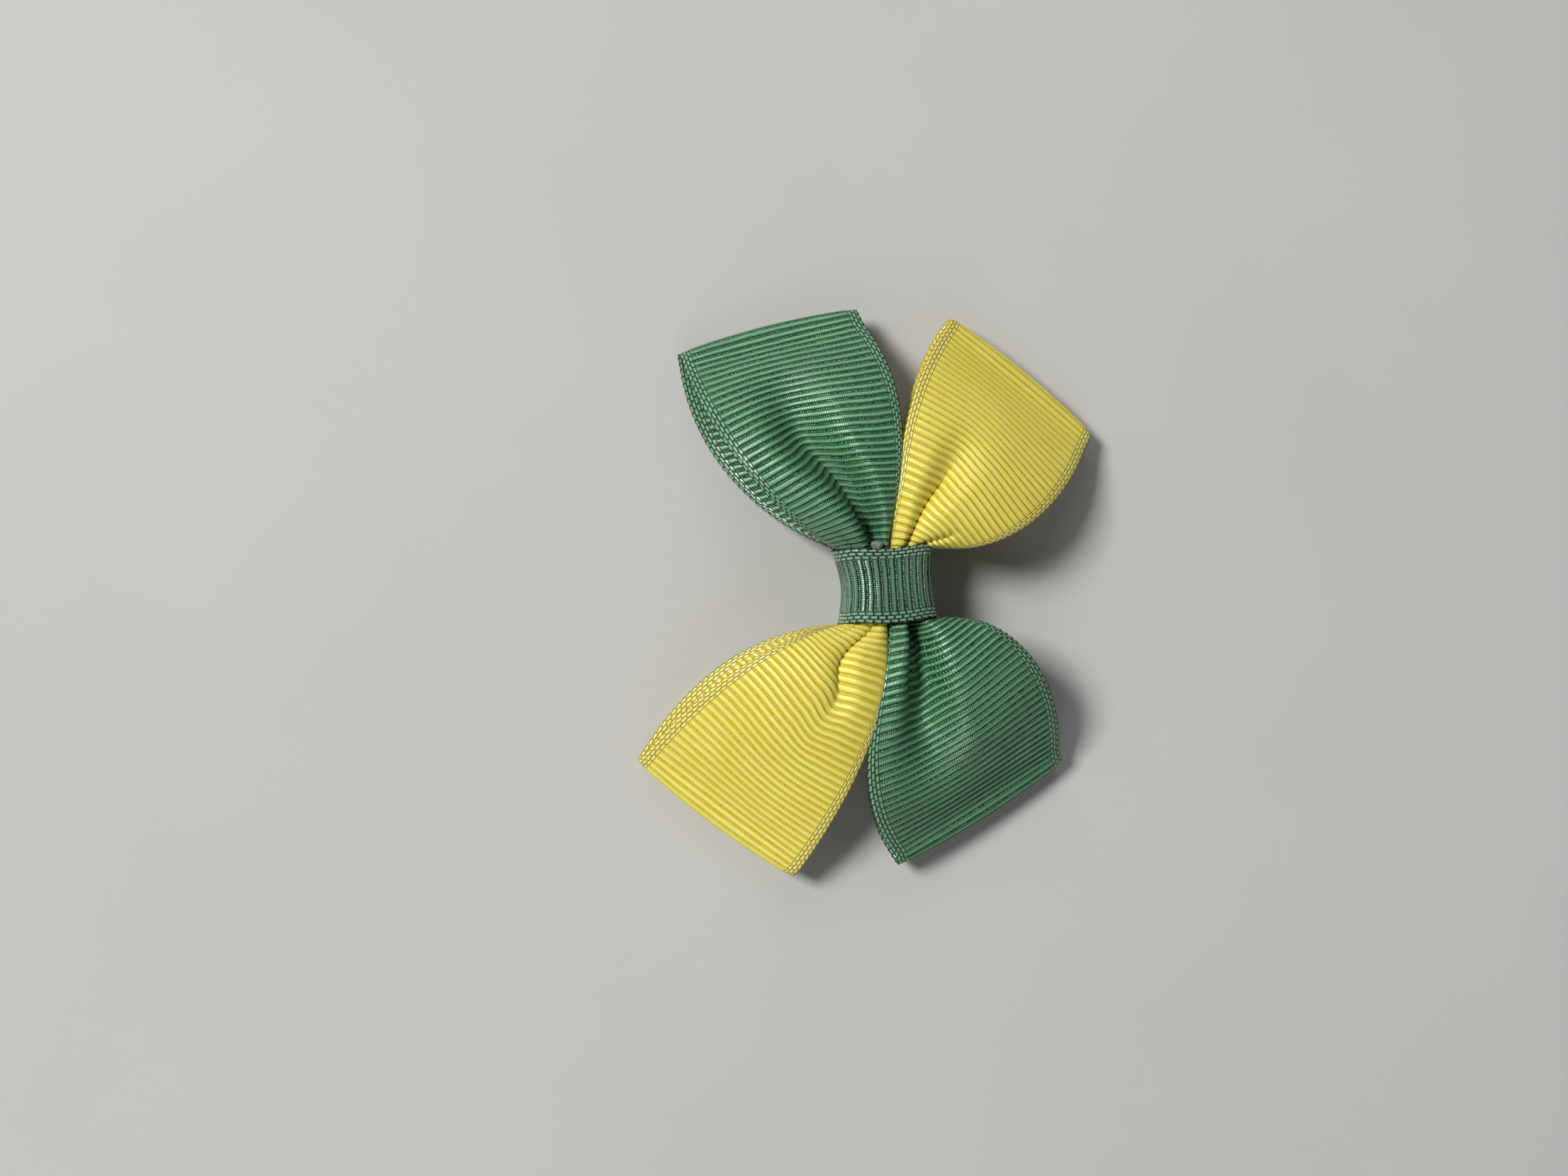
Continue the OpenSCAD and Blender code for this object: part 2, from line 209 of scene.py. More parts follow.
def pleat_pinch(pleats, t, w):
    """Sideways lean of the main pleat's outer wall, as a share of the width. It hangs a little
    over the pleat near the wrap. The inner wall stays where it is."""
    half = mix(0.2, pleats[0][6], smooth(t / 0.35))
    d = np.clip((w - pleat_place(pleats[0], t)) / half, -1.0, 1.0)
    wall = np.sin(np.pi * np.abs(d)) * np.where(d < 0, 0.4, 0.0)
    return wall * half * (1 - smooth((t - 0.16) / 0.4))


def rib_lead(pleats, t, w):
    """How far the ribs run ahead in the main pleat, where the ribbon lies straighter."""
    place = pleat_place(pleats[0], t)
    tent = 1 - np.abs(w - place) / np.maximum(place, 1 - place)
    hook = bell(w - place, 0.16) * np.sin(np.pi * np.clip(t / 0.7, 0.0, 1.0))
    return 0.06 * np.sin(np.pi * t) * smooth(tent) + 0.022 * hook


def lobe_layer(lobe, upper, t, w):
    """One layer of a lobe. t runs from the wrap to the fold, w from the outer edge inwards."""
    pleats = lobe["pleats"]
    share = w + (pleat_pinch(pleats, t, w) if upper else 0.0)
    ahead = np.clip(t + (rib_lead(pleats, t, w) if upper else 0.0), 0.0, 1.0)
    outer = [bez([p[k] for p in lobe["outer"]], ahead) for k in (0, 1)]
    inner = [bez([p[k] for p in lobe["inner"]], ahead) for k in (0, 1)]
    x = mix(outer[0], inner[0], share)
    y = mix(outer[1], inner[1], share)
    crown = CROWN * 4 * w * (1 - w) * np.sin(np.pi * ahead)
    if upper:
        x = x + lobe["lean"] * w * w * np.sin(np.pi * ahead)
        z = mix(bez(TOP_OUTER, ahead), bez(TOP_INNER, ahead), w)
        z = z + crown - pleat_drop(lobe, t, w)
    else:
        z = mix(bez(LOW_OUTER, t), bez(LOW_INNER, t), w)
    return np.stack([x, y, z], axis=-1)


def lobe_fold(lobe, angle, w):
    """The half turn at a lobe's end, from the upper layer at 90 degrees to the lower at -90."""
    one = np.ones_like(w)
    a = lobe_layer(lobe, True, one, w)
    b = lobe_layer(lobe, False, one, w)
    radius = (a[..., 2] - b[..., 2]) / 2
    corner = np.array(lobe["outer"][3], float)
    edge = np.array(lobe["inner"][3], float) - corner
    edge = edge / np.linalg.norm(edge)
    away = np.array([edge[1], -edge[0]])
    away = away if away @ corner > 0 else -away
    out = (radius + 0.45 + 0.8 * 4 * w * (1 - w)) * np.cos(angle)
    z = (a[..., 2] + b[..., 2]) / 2 + radius * np.sin(angle)
    return np.stack([a[..., 0] + away[0] * out, a[..., 1] + away[1] * out, z], axis=-1)


def knot_layer(side, over, upper, y, w, above, below):
    """One layer between its two lobes. above and below are the lobes' own ends there."""
    cross = smooth((BASE_Y - abs(y)) / 3.0)
    reach = np.clip(abs(y) / 4.4, 0, 1)
    x = side * BASE_X * np.sin(np.pi / 2 * reach) * np.sign(y) + side * (0.5 - w) * BUNCH_W
    middle = KNOT_Z + (LAYER_GAP if upper else -LAYER_GAP) / 2 + over * STRIP_GAP / 2
    gather = 0.35 * np.cos(4 * np.pi * w)
    end = above if y > 0 else below
    z = mix(end[:, 2], middle + gather, cross)
    settle = smooth((abs(y) - 2.9) / 1.8)
    x = mix(x, end[:, 0], settle)
    return np.stack([x, np.full_like(w, y), z], axis=-1)


def loop_rows(up, down, side, over, columns):
    """Rows over the ribbon's width, all the way round one loop."""
    w = np.linspace(0.0, 1.0, columns)
    rev = 1 - w
    t_list = np.linspace(0.0, 1.0, LAYER_STEPS)
    a_list = np.linspace(math.pi / 2, -math.pi / 2, FOLD_STEPS)
    y_list = np.linspace(BASE_Y, -BASE_Y, KNOT_STEPS)[1:-1]
    ends = {}
    for upper in (True, False):
        above = lobe_layer(up, upper, np.zeros_like(w), w)
        below = lobe_layer(down, upper, np.zeros_like(w), rev)
        ends[upper] = (above, below)
    rows = [lobe_layer(up, True, np.full_like(w, t), w) for t in t_list]
    rows += [lobe_fold(up, a, w) for a in a_list[1:-1]]
    rows += [lobe_layer(up, False, np.full_like(w, t), w) for t in t_list[::-1]]
    rows += [knot_layer(side, over, False, y, w, *ends[False]) for y in y_list]
    rows += [lobe_layer(down, False, np.full_like(w, t), rev) for t in t_list]
    rows += [lobe_fold(down, a, rev) for a in a_list[::-1][1:-1]]
    rows += [lobe_layer(down, True, np.full_like(w, t), rev) for t in t_list[::-1]]
    rows += [knot_layer(side, over, True, y, w, *ends[True]) for y in y_list[::-1]]
    return np.array(rows)


def even_rows(rows, per_rib, closed):
    """The same surface with rows evenly spaced along the ribbon, a whole number to each rib.
    Gives the rows, each row's place along the ribs, and the ribbon's length."""
    path = np.concatenate([rows, rows[:1]]) if closed else rows
    step = np.linalg.norm(np.diff(path, axis=0), axis=2).mean(axis=1)
    along = np.concatenate([[0.0], np.cumsum(step)])
    length = along[-1]
    ribs = int(round(length / RIB))
    count = ribs * per_rib
    at = np.linspace(0.0, length, count + 1)
    at = at[:-1] if closed else at
    out = np.empty((len(at), rows.shape[1], 3))
    for j in range(rows.shape[1]):
        for k in range(3):
            out[:, j, k] = np.interp(at, along, path[:, j, k])
    if closed:
        out = soften(out, 0.9 / (length / count))
    return out, at / length * ribs * RIB, length


def soften(rows, spread):
    """Rounds off the places where one run of the loop meets the next. spread is in rows."""
    reach = int(spread * 3)
    total = np.zeros_like(rows)
    weight = 0.0
    for k in range(-reach, reach + 1):
        share = math.exp(-0.5 * (k / spread) ** 2)
        total += share * np.roll(rows, k, axis=0)
        weight += share
    return total / weight


def face_normals(rows, closed):
    """The upward direction of the middle surface at each of its points."""
    if closed:
        run = np.roll(rows, -1, axis=0) - np.roll(rows, 1, axis=0)
    else:
        run = np.gradient(rows, axis=0)
    across = np.gradient(rows, axis=1)
    n = np.cross(across, run)
    return n / np.maximum(np.linalg.norm(n, axis=2, keepdims=True), 1e-9)


def ribbon_mesh(name, rows, along, width, thick, closed):
    """A ribbon with both faces, its woven ribs and its edges, from its middle surface."""
    n, m = rows.shape[:2]
    across = np.linspace(0.0, width, m)
    edge = np.minimum(across, width - across)
    band = smooth((edge - SELVEDGE * 0.7) / (SELVEDGE * 0.6))
    rib = np.abs(np.sin(np.pi * along / RIB)) ** 0.42
    relief = RIB_H * (rib[:, None] - 0.6) * band[None, :]
    thin = mix(0.72, 1.0, smooth(edge / 1.2))
    normal = face_normals(rows, closed)
    lift = (thick / 2 * thin[None, :] + relief)[..., None] * normal
    scallop = 0.07 * np.sin(2 * np.pi * along / RIB)
    side = np.gradient(rows, axis=1)
    side = side / np.maximum(np.linalg.norm(side, axis=2, keepdims=True), 1e-9)
    middle = rows.copy()
    middle[:, 0] -= side[:, 0] * scallop[:, None]
    middle[:, -1] += side[:, -1] * scallop[:, None]
    points = np.concatenate([(middle + lift).reshape(-1, 3), (middle - lift).reshape(-1, 3)])
    points = to_metres(points)
    last = n if closed else n - 1
    i = np.arange(last)[:, None]
    j = np.arange(m - 1)[None, :]
    a = i * m + j
    b = a + 1
    d = ((i + 1) % n) * m + j
    c = d + 1
    skin = np.stack([a, b, c, d], axis=-1).reshape(-1, 4)
    shift = n * m
    under = np.stack([a + shift, d + shift, c + shift, b + shift], axis=-1).reshape(-1, 4)
    i = np.arange(last)
    p = i * m
    q = ((i + 1) % n) * m
    left = np.stack([p, q, q + shift, p + shift], axis=-1)
    p = p + m - 1
    q = q + m - 1
    right = np.stack([p, p + shift, q + shift, q], axis=-1)
    quads = [skin, under, left, right]
    if not closed:
        j = np.arange(m - 1)
        quads.append(np.stack([j, j + shift, j + shift + 1, j + 1], axis=-1))
        e = (n - 1) * m + j
        quads.append(np.stack([e, e + 1, e + shift + 1, e + shift], axis=-1))
    faces = np.concatenate(quads)
    mesh = bpy.data.meshes.new(name)
    mesh.from_pydata(points.tolist(), [], faces.tolist())
    mesh.update()
    grid_v = np.repeat(along, m)
    grid_u = np.tile(across, n)
    u = np.concatenate([grid_u, grid_u])
    v = np.concatenate([grid_v, grid_v])
    corner = np.empty(len(mesh.loops), dtype=np.int32)
    mesh.loops.foreach_get("vertex_index", corner)
    uv = np.stack([u[corner], v[corner]], axis=-1)
    if closed:
        whole = uv[:, 1].reshape(-1, 4)
        seam = (whole.max(axis=1) - whole.min(axis=1)) > RIB * 2
        fixed = np.where(seam[:, None] & (whole < RIB), whole + along[-1] + along[1], whole)
        uv[:, 1] = fixed.reshape(-1)
    layer = mesh.uv_layers.new(name="ribbon")
    layer.data.foreach_set("uv", uv.astype(np.float32).ravel())
    mesh.shade_smooth()
    mesh.validate()
    obj = bpy.data.objects.new(name, mesh)
    bpy.context.scene.collection.objects.link(obj)
    return obj


def make_loop(name, up, down, side, over, material):
    """One closed loop of ribbon. side is -1 when its upper lobe enters the knot on the left
    and 1 on the right. over is 1 for the strip that crosses on top and -1 for the other."""
    rows = loop_rows(up, down, side, over, LOOP_COLUMNS)
    rows, along, length = even_rows(rows, LOOP_ROWS, True)
    obj = ribbon_mesh(name + "_ribbon", rows, along, RIBBON_W, RIBBON_T, True)
    obj.data.materials.append(material)
    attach(obj, "bow")
    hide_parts(name)
    return obj


# ---------------------------------------------------------------- the wrap


WRAP_W = 9.5
WRAP_T = 0.45

# The wrap's half width at its edges, how far its middle surface lies inside its box, its turn
# in plan, the share of a lap from which its end lies under its start, and how far under
WRAP_HALF = 6.45
WRAP_INSET = 0.3
WRAP_TURN = math.radians(4)
LAP_FROM = 0.98
LAP_UNDER = 0.55

# How finely the wrap is drawn: columns over its width, rows to a rib, steps round the knot
WRAP_COLUMNS = 29
WRAP_ROWS = 8
WRAP_STEPS = 460


def wrap_section(share, squeeze, w):
    """A point of the wrap's section at a share of one lap, from under the knot and round.
    squeeze is how much the middle is pulled in, w the place over the wrap's width."""
    angle = -math.pi / 2 + 2 * math.pi * share
    c = math.cos(angle)
    s = math.sin(angle)
    right = c > 0
    if s > 0:
        fullness = 2.35 if right else 2.6
    else:
        fullness = 3.2
    power = 2 / fullness
    half = WRAP_HALF - (0.72 * squeeze if right else 1.05 * squeeze + 0.2 * (1 - w))
    low = WRAP_LOW.z * 1000 + WRAP_INSET
    high = WRAP_HIGH.z * 1000 - WRAP_INSET
    x = math.copysign(abs(c) ** power, c) * half
    z = (low + high) / 2 + math.copysign(abs(s) ** power, s) * (high - low) / 2
    return x, z


def wrap_rows(columns):
    """Rows over the wrap's width, one lap and a short overlap underneath."""
    rows = []
    for share in np.linspace(-0.02, 1.13, WRAP_STEPS):
        row = []
        lap = max(0.0, share - LAP_FROM)
        under = min(1.0, lap / 0.03) * LAP_UNDER
        for w in np.linspace(0.0, 1.0, columns):
            y = (w - 0.5) * WRAP_W
            squeeze = 1 - (2 * w - 1) ** 2
            x, z = wrap_section(share, squeeze, w)
            if share > 0.5:
                z -= under
            sag = 0.12 * math.sin(share * 17 + 1.3) * (1 - squeeze)
            top = max(0.0, math.sin(-math.pi / 2 + 2 * math.pi * share))
            y += top * (0.18 * math.sin(share * 22) * abs(2 * w - 1))
            z += 0.12 * squeeze * top - sag * top
            row.append((x * math.cos(WRAP_TURN) - y * math.sin(WRAP_TURN),
                        x * math.sin(WRAP_TURN) + y * math.cos(WRAP_TURN), z))
        rows.append(row)
    return np.array(rows)


def make_wrap(material):
    """The short ribbon round the knot and the clip's arm."""
    rows, along, length = even_rows(wrap_rows(WRAP_COLUMNS), WRAP_ROWS, False)
    obj = ribbon_mesh("wrap_ribbon", rows, along, WRAP_W, WRAP_T, False)
    obj.data.materials.append(material)
    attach(obj, "bow")
    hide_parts("knot_wrap")
    return obj


# ---------------------------------------------------------------- glue and spring


def make_bead(material):
    """The bead of glue, a little drop pulled towards the wrap."""
    low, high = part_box("wrap_glue_bead")
    middle = (low + high) / 2
    radius = (high.x - low.x) / 2
    mesh = bpy.data.meshes.new("glue_bead")
    bm = bmesh.new()
    bmesh.ops.create_icosphere(bm, subdivisions=4, radius=radius)
    for v in bm.verts:
        way = v.co.normalized()
        grow = 1 + 0.16 * noise.noise(way * 1.7 + Vector((3.1, 0.4, 1.2)))
        v.co = way * radius * grow
        v.co.x *= 1.5
        v.co.y *= 1.5 if v.co.y < 0 else 0.9
        v.co.z *= 0.8
        v.co += middle + Vector((0.0, -0.0002, -0.0004))
    bm.to_mesh(mesh)
    bm.free()
    mesh.shade_smooth()
    obj = bpy.data.objects.new("glue_bead", mesh)
    bpy.context.scene.collection.objects.link(obj)
    obj.data.materials.append(material)
    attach(obj, "bow")
    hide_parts("wrap_glue_bead")
    return obj


def tube(name, path, radius, sides):
    """A closed round wire along a path given in metres."""
    path = np.array(path)
    run = np.gradient(path, axis=0)
    run = run / np.linalg.norm(run, axis=1, keepdims=True)
    first = np.cross(run, np.array([1.0, 0.0, 0.0]))
    flat = np.linalg.norm(first, axis=1) < 0.3
    first[flat] = np.cross(run[flat], np.array([0.0, 0.0, 1.0]))
    first = first / np.linalg.norm(first, axis=1, keepdims=True)
    second = np.cross(run, first)
    turn = np.linspace(0, 2 * np.pi, sides, endpoint=False)
    ring = (first[:, None] * np.cos(turn)[None, :, None]
            + second[:, None] * np.sin(turn)[None, :, None])
    points = (path[:, None] + ring * radius).reshape(-1, 3)
    faces = []
    for i in range(len(path) - 1):
        for k in range(sides):
            a = i * sides + k
            b = i * sides + (k + 1) % sides
            faces.append((a, b, b + sides, a + sides))
    faces.append(tuple(range(sides - 1, -1, -1)))
    faces.append(tuple((len(path) - 1) * sides + k for k in range(sides)))
    mesh = bpy.data.meshes.new(name)
    mesh.from_pydata(points.tolist(), [], faces)
    mesh.update()
    mesh.shade_smooth()
    obj = bpy.data.objects.new(name, mesh)
    bpy.context.scene.collection.objects.link(obj)
    return obj


SPRING_TURNS = 3.5


def make_spring(material):
    """The torsion spring: three and a half turns on the pin, one leg on each half of the
    clip."""
    pin_low, pin_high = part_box("clip_hinge_pin")
    low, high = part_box("clip_spring")
    pin = (pin_low + pin_high) / 2
    wire = 0.00025
    coil = 0.0012
    left = low.x + wire
    right = high.x - wire
    back = low.y + wire
    path = []
    for s in np.linspace(0, 1, 8, endpoint=False):
        path.append((left, mix(back, pin.y - coil, s), mix(high.z - wire, pin.z + coil, s ** 2)))
    whole = 2 * math.pi * SPRING_TURNS
    for a in np.linspace(0, whole, 150):
        x = mix(left, right, a / whole)
        path.append((x, pin.y + coil * math.sin(a), pin.z + coil * math.cos(a)))
    for s in np.linspace(0, 1, 9)[1:]:
        y = mix(pin.y, back, s)
        path.append((right, y, mix(pin.z - coil, low.z + wire, smooth(s))))
    obj = tube("spring_wire", path, wire, 10)
    obj.data.materials.append(material)
    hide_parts("clip_spring")
    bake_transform(obj)
    return obj


# ---------------------------------------------------------------- materials


def calc(tree, kind, a, b=None, c=None):
    """One math node. Each input is a number or another node's output."""
    node = tree.nodes.new("ShaderNodeMath")
    node.operation = kind
    for k, value in enumerate((a, b, c)):
        if value is None:
            continue
        if isinstance(value, (int, float)):
            node.inputs[k].default_value = value
        else:
            tree.links.new(value, node.inputs[k])
    return node.outputs[0]


def ease(tree, value, low, high, out_low=0.0, out_high=1.0):
    """A smooth step of a value from low to high."""
    node = tree.nodes.new("ShaderNodeMapRange")
    node.interpolation_type = "SMOOTHSTEP"
    tree.links.new(value, node.inputs["Value"])
    node.inputs["From Min"].default_value = low
    node.inputs["From Max"].default_value = high
    node.inputs["To Min"].default_value = out_low
    node.inputs["To Max"].default_value = out_high
    return node.outputs["Result"]


def speckle(tree, vector, scale, detail=3.0, stretch=None):
    """Noise over a vector, stretched if asked."""
    if stretch is not None:
        fit = tree.nodes.new("ShaderNodeVectorMath")
        fit.operation = "MULTIPLY"
        fit.inputs[1].default_value = stretch
        tree.links.new(vector, fit.inputs[0])
        vector = fit.outputs[0]
    node = tree.nodes.new("ShaderNodeTexNoise")
    node.inputs["Scale"].default_value = scale
    node.inputs["Detail"].default_value = detail
    tree.links.new(vector, node.inputs["Vector"])
    return node.outputs["Fac"]


def blend_colour(tree, share, a, b):
    """A mix of two colours, each a tuple or another node's output."""
    node = tree.nodes.new("ShaderNodeMix")
    node.data_type = "RGBA"
    if isinstance(share, (int, float)):
        node.inputs["Factor"].default_value = share
    else:
        tree.links.new(share, node.inputs["Factor"])
    for name, value in (("A", a), ("B", b)):
        socket = [s for s in node.inputs if s.name == name and s.type == "RGBA"][0]
        if isinstance(value, tuple):
            socket.default_value = (*value, 1.0)
        else:
            tree.links.new(value, socket)
    return [s for s in node.outputs if s.type == "RGBA"][0]


def new_material(name):
    """An empty material with one Principled shader."""
    mat = bpy.data.materials.new(name)
    mat.use_nodes = True
    tree = mat.node_tree
    tree.nodes.clear()
    out = tree.nodes.new("ShaderNodeOutputMaterial")
    shader = tree.nodes.new("ShaderNodeBsdfPrincipled")
    tree.links.new(shader.outputs[0], out.inputs["Surface"])
    return mat, tree, shader


def add_bump(tree, shader, height, distance, strength):
    """Surface relief from a height value. distance is in metres."""
    bump = tree.nodes.new("ShaderNodeBump")
    bump.inputs["Distance"].default_value = distance
    bump.inputs["Strength"].default_value = strength
    tree.links.new(height, bump.inputs["Height"])
    tree.links.new(bump.outputs[0], shader.inputs["Normal"])


# Spacing of the lengthwise yarns and of the selvedge's rows of floats, in millimetres
YARN = 0.27
FLOAT_ROW = 0.46


def ribbon_material(name, width, dark, body, light, gloss, crest_highlight):
    """Grosgrain: rounded cross ribs, fine lengthwise yarns and a woven selvedge. dark is painted
    shade between the ribs and between the selvedge's floats, and the tone the random mottle leans to;
    light is painted highlight on the crests and floats and the colour of the yarn ticks; gloss the
    least roughness, and crest_highlight how much of the ribs' crests the painted highlight takes."""
    mat, tree, shader = new_material(name)
    uv = tree.nodes.new("ShaderNodeUVMap")
    uv.uv_map = "ribbon"
    split = tree.nodes.new("ShaderNodeSeparateXYZ")
    tree.links.new(uv.outputs[0], split.inputs[0])
    across = split.outputs["X"]
    along = split.outputs["Y"]
    drift = speckle(tree, uv.outputs[0], 1.0, 2.0, (0.35, 0.9, 1.0))
    shift = calc(tree, "MULTIPLY", calc(tree, "SUBTRACT", drift, 0.5), 0.16)
    along_d = calc(tree, "ADD", along, shift)
    phase = calc(tree, "MULTIPLY", along_d, math.pi / RIB)
    rib = calc(tree, "ABSOLUTE", calc(tree, "SINE", phase))
    groove = ease(tree, rib, 0.22, 0.74, 1.0, 0.0)
    # Lengthwise yarns, about four to a millimetre, each a little out of step with the next
    wander = speckle(tree, uv.outputs[0], 1.0, 2.0, (1.2, 0.5, 1.0))
    yarn_at = calc(tree, "ADD", across, calc(tree, "MULTIPLY", wander, 0.22))
    yarn = calc(tree, "SINE", calc(tree, "MULTIPLY", yarn_at, 2 * math.pi / YARN))
    yarn = calc(tree, "MULTIPLY_ADD", yarn, 0.5, 0.5)
    fleck = speckle(tree, uv.outputs[0], 1.0, 2.0, (4.0, 2.2, 1.0))
    fleck = ease(tree, fleck, 0.36, 0.6)
    # Selvedge: three rows of long floats, each row half a stitch on from the last
    edge = calc(tree, "MINIMUM", across, calc(tree, "SUBTRACT", width, across))
    band = ease(tree, edge, SELVEDGE - 0.12, SELVEDGE + 0.12, 1.0, 0.0)
    row = calc(tree, "FLOOR", calc(tree, "DIVIDE", edge, FLOAT_ROW))
    step = calc(tree, "MULTIPLY_ADD", row, math.pi / 2, phase)
    stitch = calc(tree, "ABSOLUTE", calc(tree, "SINE", step))
    between = calc(tree, "SINE", calc(tree, "MULTIPLY", edge, math.pi / FLOAT_ROW))
    between = calc(tree, "ABSOLUTE", between)
    floats = calc(tree, "MULTIPLY", ease(tree, stitch, 0.05, 0.6), ease(tree, between, 0.05, 0.7))
    # Height: ribs and yarns, floats in the selvedge, and fuzz over both
    body_h = calc(tree, "MULTIPLY_ADD", ease(tree, rib, 0.0, 0.72), 0.45,
                  calc(tree, "MULTIPLY", yarn, 0.06))
    height = calc(tree, "ADD",
                  calc(tree, "MULTIPLY", body_h, calc(tree, "SUBTRACT", 1.0, band)),
                  calc(tree, "MULTIPLY", calc(tree, "MULTIPLY", floats, 0.75), band))
    fuzz = speckle(tree, uv.outputs[0], 9.0, 4.0)
    height = calc(tree, "MULTIPLY_ADD", fuzz, 0.025, height)
    # Colour: painted shade between the ribs, light ticks of yarn there, a painted highlight line on
    # each crest
    line = ease(tree, rib, 0.08, 0.42, 1.0, 0.0)
    tick = calc(tree, "MULTIPLY", calc(tree, "MULTIPLY", line, ease(tree, yarn, 0.35, 0.8)), fleck)
    # The grooves take the dark colour as painted shade; the yarns vary it a little.
    shade = calc(tree, "SUBTRACT", 1.0, groove)
    shade = calc(tree, "MULTIPLY", shade, calc(tree, "MULTIPLY_ADD", yarn, 0.25, 0.75))
    # In the selvedge the gaps between the floats take the dark colour as painted shade.
    shade_band = calc(tree, "MULTIPLY_ADD", floats, 0.9, 0.05)
    off_band = calc(tree, "SUBTRACT", 1.0, band)
    shade = calc(tree, "ADD", calc(tree, "MULTIPLY", shade, off_band),
                 calc(tree, "MULTIPLY", shade_band, band))
    colour = blend_colour(tree, shade, dark, body)
    # Painted highlight: the crest of each rib takes the light colour, broken up by the fuzz.
    crest = calc(tree, "MULTIPLY", ease(tree, rib, 0.74, 1.0),
                 calc(tree, "MULTIPLY_ADD", yarn, 0.5, 0.5))
    crest = calc(tree, "MULTIPLY", crest, ease(tree, fuzz, 0.3, 0.6))
    # The yarn ticks take the light colour and the crests take it as painted highlight; in the
    # selvedge the floats get painted highlight.
    shine = calc(tree, "ADD", calc(tree, "MULTIPLY", tick, 0.85),
                 calc(tree, "MULTIPLY", crest, crest_highlight))
    shine = calc(tree, "ADD", calc(tree, "MULTIPLY", shine, off_band),
                 calc(tree, "MULTIPLY", calc(tree, "MULTIPLY", floats, 0.5), band))
    colour = blend_colour(tree, shine, colour, light)
    mottle = ease(tree, speckle(tree, uv.outputs[0], 0.16, 4.0), 0.3, 0.75, 0.0, 0.22)
    colour = blend_colour(tree, mottle, colour, dark)
    tree.links.new(colour, shader.inputs["Base Color"])
    rough = calc(tree, "MULTIPLY_ADD", groove, 0.22, calc(tree, "MULTIPLY_ADD", fuzz, 0.2, gloss))
    tree.links.new(rough, shader.inputs["Roughness"])
    shader.inputs["Specular IOR Level"].default_value = 0.75
    shader.inputs["Sheen Weight"].default_value = 0.03
    shader.inputs["Sheen Roughness"].default_value = 0.4
    add_bump(tree, shader, height, 0.0003, 1.0)
    return mat


def object_vector(tree):
    """A place on the piece itself, in metres."""
    node = tree.nodes.new("ShaderNodeTexCoord")
    return node.outputs["Object"]


def metal_material(name, colour, rough, grain):
    """Steel with fine scratches and duller patches. grain is the scratches' fineness along
    the three axes."""
    mat, tree, shader = new_material(name)
    where = object_vector(tree)
    streak = speckle(tree, where, 1.0, 5.0, grain)
    cloud = speckle(tree, where, 220.0, 4.0)
    fine = speckle(tree, where, 5200.0, 2.0)
    worn = tuple(c * 0.62 for c in colour)
    tint = blend_colour(tree, ease(tree, cloud, 0.45, 0.8, 0.0, 0.7), colour, worn)
    tint = blend_colour(tree, ease(tree, streak, 0.58, 0.7, 0.0, 0.35), tint, worn)
    tree.links.new(tint, shader.inputs["Base Color"])
    shader.inputs["Metallic"].default_value = 1.0
    dull = calc(tree, "MULTIPLY_ADD", streak, 0.22, rough)
    dull = calc(tree, "MULTIPLY_ADD", cloud, 0.16, dull)
    tree.links.new(dull, shader.inputs["Roughness"])
    height = calc(tree, "ADD", calc(tree, "MULTIPLY", streak, 0.6), calc(tree, "MULTIPLY", fine, 0.3))
    add_bump(tree, shader, height, 0.00002, 0.4)
    return mat


def glue_material(name):
    """Set hot-melt glue: cloudy grey, wet-looking, with small bubbles."""
    mat, tree, shader = new_material(name)
    where = object_vector(tree)
    cloud = speckle(tree, where, 900.0, 3.0)
    bubble = tree.nodes.new("ShaderNodeTexVoronoi")
    bubble.inputs["Scale"].default_value = 2600.0
    tree.links.new(where, bubble.inputs["Vector"])
    tint = blend_colour(tree, ease(tree, cloud, 0.35, 0.7), (0.16, 0.19, 0.165), (0.34, 0.37, 0.34))
    spots = ease(tree, bubble.outputs["Distance"], 0.0, 0.16, 1.0, 0.0)
    tint = blend_colour(tree, calc(tree, "MULTIPLY", spots, 0.6), tint, (0.6, 0.62, 0.59))
    tree.links.new(tint, shader.inputs["Base Color"])
    tree.links.new(calc(tree, "MULTIPLY_ADD", cloud, 0.12, 0.1), shader.inputs["Roughness"])
    shader.inputs["Coat Weight"].default_value = 0.8
    shader.inputs["Coat Roughness"].default_value = 0.05
    add_bump(tree, shader, cloud, 0.00008, 0.5)
    return mat


def thread_material(name):
    """Twisted thread: slanting plies, darker between them as painted shade."""
    mat, tree, shader = new_material(name)
    where = object_vector(tree)
    wave = tree.nodes.new("ShaderNodeTexWave")
    wave.bands_direction = "DIAGONAL"
    wave.inputs["Scale"].default_value = 900.0
    wave.inputs["Distortion"].default_value = 2.0
    tree.links.new(where, wave.inputs["Vector"])
    fuzz = speckle(tree, where, 6000.0, 3.0)
    # Darker in the hollows between the plies: painted shade.
    tint = blend_colour(tree, wave.outputs["Fac"], (0.38, 0.37, 0.34), (0.78, 0.77, 0.72))
    tree.links.new(tint, shader.inputs["Base Color"])
    tree.links.new(calc(tree, "MULTIPLY_ADD", fuzz, 0.3, 0.5), shader.inputs["Roughness"])
    add_bump(tree, shader, wave.outputs["Fac"], 0.00006, 0.7)
    return mat


def paper_material(name):
    """Plain matt paper with a faint fibre."""
    mat, tree, shader = new_material(name)
    where = object_vector(tree)
    cloud = speckle(tree, where, 14.0, 5.0)
    fibre = speckle(tree, where, 1400.0, 4.0)
    tint = blend_colour(tree, ease(tree, cloud, 0.3, 0.7), (0.585, 0.585, 0.568), (0.61, 0.61, 0.595))
    tree.links.new(tint, shader.inputs["Base Color"])
    shader.inputs["Roughness"].default_value = 0.9
    add_bump(tree, shader, fibre, 0.00005, 0.25)
    return mat


# ---------------------------------------------------------------- clip


